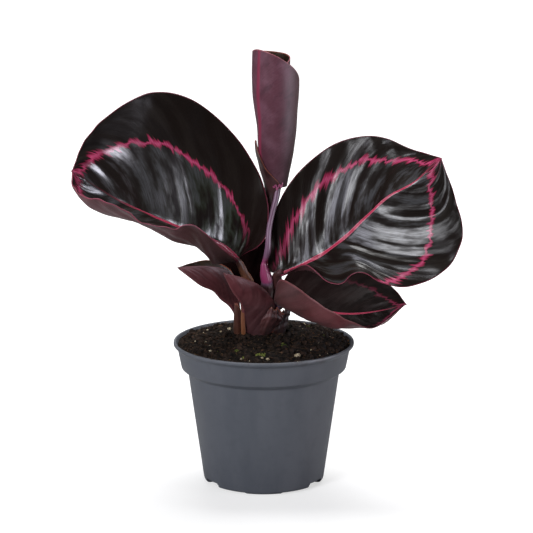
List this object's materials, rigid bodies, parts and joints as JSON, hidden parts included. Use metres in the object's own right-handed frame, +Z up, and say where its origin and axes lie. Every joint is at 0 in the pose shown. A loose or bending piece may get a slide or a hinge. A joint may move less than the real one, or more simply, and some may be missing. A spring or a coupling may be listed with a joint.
{
  "type": "potted calathea",
  "caption": "Prayer plant with dark, pink-ringed leaves, one of them still rolled, growing in a plain round plastic nursery pot with a stepped rim.",
  "frame": {"origin": "centre of the pot's base, on the surface that the pot stands on", "axes": "+Z up along the pot's axis; -Y towards the side that the two big leaves face; +X to the right seen from there"},
  "size_m": [0.2505, 0.1486, 0.29],
  "materials": {
    "pot": "moulded grey polypropylene with a faint satin sheen",
    "soil": "damp dark peat, rough and matt",
    "crown": "fibrous brown rootstock",
    "leaf": "satin near-black upper side with a pink ring and midrib, purple underside",
    "young_leaf": "satin mauve underside, turned outwards",
    "stalk": "smooth red-brown leaf stalk"
  },
  "bodies": {
    "root": {"pot": "pot", "potting_soil": "soil", "crown": "crown", "left_leaf_blade": "leaf", "right_leaf_blade": "leaf", "lower_right_leaf_blade": "leaf", "lower_left_leaf": "young_leaf", "front_leaf": "young_leaf", "back_leaf": "leaf", "rolled_leaf": "young_leaf", "left_leaf_stalk": "stalk", "right_leaf_stalk": "stalk", "lower_right_leaf_stalk": "stalk", "rolled_leaf_stalk": "stalk"}
  },
  "joints": []
}
